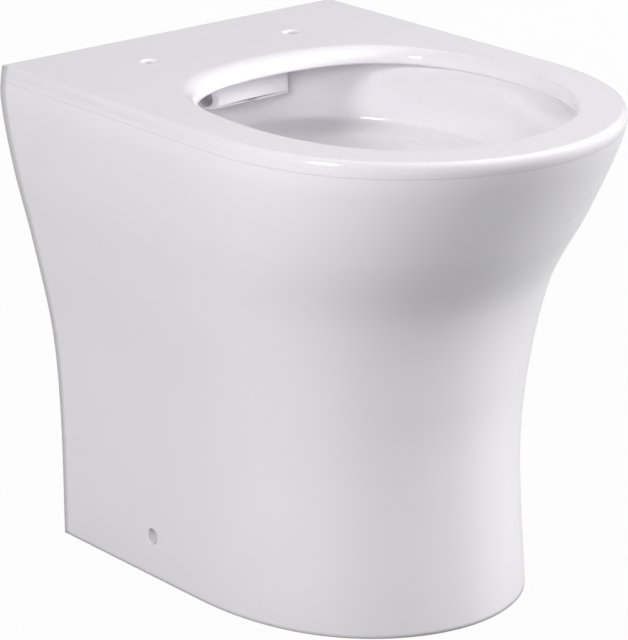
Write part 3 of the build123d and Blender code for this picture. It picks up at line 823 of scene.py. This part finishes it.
def fixing_pair(name, node_stem, edge, material, tree):
    """Both fixings of a kind, grown from the left one."""
    centre = Vector((0, (wall_y - fixing_hole_from_wall) * MM, 0))
    single = bpy.data.meshes.new(name)
    bm = bmesh.new()
    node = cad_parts[node_stem + "_left"]
    bm.from_mesh(node.data)
    bmesh.ops.transform(bm, matrix=Matrix.Translation(-centre) @ node.matrix_world, verts=bm.verts)
    bmesh.ops.remove_doubles(bm, verts=bm.verts, dist=weld_distance)
    bmesh.ops.dissolve_limit(bm, angle_limit=math.radians(0.5), verts=bm.verts, edges=bm.edges)
    bm.to_mesh(single)
    bm.free()
    source = bpy.data.objects.new(name + "_one", single)
    bpy.context.scene.collection.objects.link(source)
    soften = source.modifiers.new("soften", "BEVEL")
    soften.width = edge * MM
    soften.segments = 2
    soften.limit_method = "ANGLE"
    soften.angle_limit = crease_turn
    piece = grown(name, source, tree, {
        "Count": 2, "Turn Between": math.pi, "Centre": tuple(centre), "Material": material,
    })
    piece.data.shade_smooth()
    piece.data.set_sharp_from_angle(angle=crease_turn)
    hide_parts(node_stem + "_left", node_stem + "_right")
    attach(piece, "root")
    return piece


pairs = pair_tree()
fixing_pair("fixing_bosses", "fixing_boss", 1.0, china, pairs)
fixing_pair("fixing_brackets", "fixing_bracket", 0.4, steel(), pairs)
fixing_pair("bracket_bushes", "bracket_bush", 0.3, nylon(), pairs)


# Studio: a camera where the photograph was taken from, a pale floor that shows white but keeps
# the pan's shadow, and soft lights round it. Only the two small softboxes show in the glaze.
photo_long_side, focal_pixels, sensor_width = 640, 3937.77, 36
stage_eye = Vector((-1932.354, -2945.727 + wall_y, 1305.525)) * MM
stage_right = Vector((0.80938993, -0.58613096, -0.03658477))
stage_up = Vector((0.20815456, 0.22807399, 0.95113297))
stage_back = Vector((-0.54914444, -0.77745274, 0.30660662))
camera_data = bpy.data.cameras.new("photo_camera")
camera_data.lens = focal_pixels * sensor_width / photo_long_side
camera_data.sensor_width = sensor_width
camera_data.clip_end = 50
camera = bpy.data.objects.new("photo_camera", camera_data)
turn = Matrix((stage_right, stage_up, stage_back)).transposed()
camera.matrix_world = Matrix.Translation(stage_eye) @ turn.to_4x4()
bpy.context.scene.collection.objects.link(camera)
bpy.context.scene.camera = camera

floor_material = bpy.data.materials.new("studio_floor")
floor_material.use_nodes = True
tree = floor_material.node_tree
floor_shader = tree.nodes["Principled BSDF"]
floor_shader.inputs["Base Color"].default_value = (0.2, 0.2, 0.205, 1)
floor_shader.inputs["Roughness"].default_value = 0.9
white = tree.nodes.new("ShaderNodeEmission")
white.inputs["Strength"].default_value = 1.0
paths = tree.nodes.new("ShaderNodeLightPath")
mirrored = tree.nodes.new("ShaderNodeMath")
mirrored.operation = "MULTIPLY"
mirrored.inputs[1].default_value = 0.58
seen = tree.nodes.new("ShaderNodeMath")
seen.operation = "MAXIMUM"
share = tree.nodes.new("ShaderNodeMath")
share.operation = "MULTIPLY"
share.inputs[1].default_value = 0.97
blend = tree.nodes.new("ShaderNodeMixShader")
tree.links.new(paths.outputs["Is Glossy Ray"], mirrored.inputs[0])
tree.links.new(paths.outputs["Is Camera Ray"], seen.inputs[0])
tree.links.new(mirrored.outputs["Value"], seen.inputs[1])
tree.links.new(seen.outputs["Value"], share.inputs[0])
tree.links.new(share.outputs["Value"], blend.inputs["Fac"])
tree.links.new(floor_shader.outputs["BSDF"], blend.inputs[1])
tree.links.new(white.outputs["Emission"], blend.inputs[2])
tree.links.new(blend.outputs["Shader"], tree.nodes["Material Output"].inputs["Surface"])
floor_mesh = bpy.data.meshes.new("studio_floor")
floor_reach = 6.0
floor_corners = [(x * floor_reach, y * floor_reach, 0) for x, y in ((-1, -1), (1, -1), (1, 1), (-1, 1))]
floor_mesh.from_pydata(floor_corners, [], [(0, 1, 2, 3)])
floor_mesh.materials.append(floor_material)
floor = bpy.data.objects.new("studio_floor", floor_mesh)
bpy.context.scene.collection.objects.link(floor)

world = bpy.data.worlds.new("studio")
bpy.context.scene.world = world
world.use_nodes = True
tree = world.node_tree
ambient = tree.nodes["Background"]
ambient.inputs["Color"].default_value = (0.97, 0.97, 1.0, 1)
ambient.inputs["Strength"].default_value = 0.02
backdrop = tree.nodes.new("ShaderNodeBackground")
backdrop.inputs["Strength"].default_value = 1.0
paths = tree.nodes.new("ShaderNodeLightPath")
blend = tree.nodes.new("ShaderNodeMixShader")
tree.links.new(paths.outputs["Is Camera Ray"], blend.inputs["Fac"])
tree.links.new(ambient.outputs["Background"], blend.inputs[1])
tree.links.new(backdrop.outputs["Background"], blend.inputs[2])
tree.links.new(blend.outputs["Shader"], tree.nodes["World Output"].inputs["Surface"])


def softbox(name, around, height, away, size, power, mirrored):
    """Square studio light aimed at the pan, placed by its angle round it from the front."""
    turn = math.radians(around)
    place = Vector((away * math.sin(turn), -away * math.cos(turn), height))
    data = bpy.data.lights.new(name, "AREA")
    data.shape = "SQUARE"
    data.size = size
    data.energy = power
    lamp = bpy.data.objects.new(name, data)
    lamp.location = place
    lamp.rotation_euler = (Vector((0, 0, 0.25)) - place).to_track_quat("-Z", "Y").to_euler()
    lamp.visible_glossy = mirrored
    bpy.context.scene.collection.objects.link(lamp)
    return lamp


softbox("left_softbox", 270, 1.4, 2.5, 0.45, 24, True)
softbox("left_fill", 270, 0.5, 2.6, 0.7, 15, False)
softbox("front_left_fill", 315, 1.4, 2.5, 0.9, 28, False)
softbox("front_right_fill", 51, 1.4, 2.5, 1.2, 68, False)
softbox("front_right_softbox", 60, 1.4, 2.5, 0.35, 11, True)
softbox("back_right_fill", 150, 1.4, 2.5, 1.4, 60, False)
softbox("back_right_low_fill", 122, 0.4, 2.6, 0.7, 14, False)
softbox("high_right_fill", 75, 2.5, 1.7, 1.0, 13, False)
softbox("top_fill", 0, 2.9, 0.1, 1.2, 21, False)

bpy.context.scene.view_settings.view_transform = "Standard"
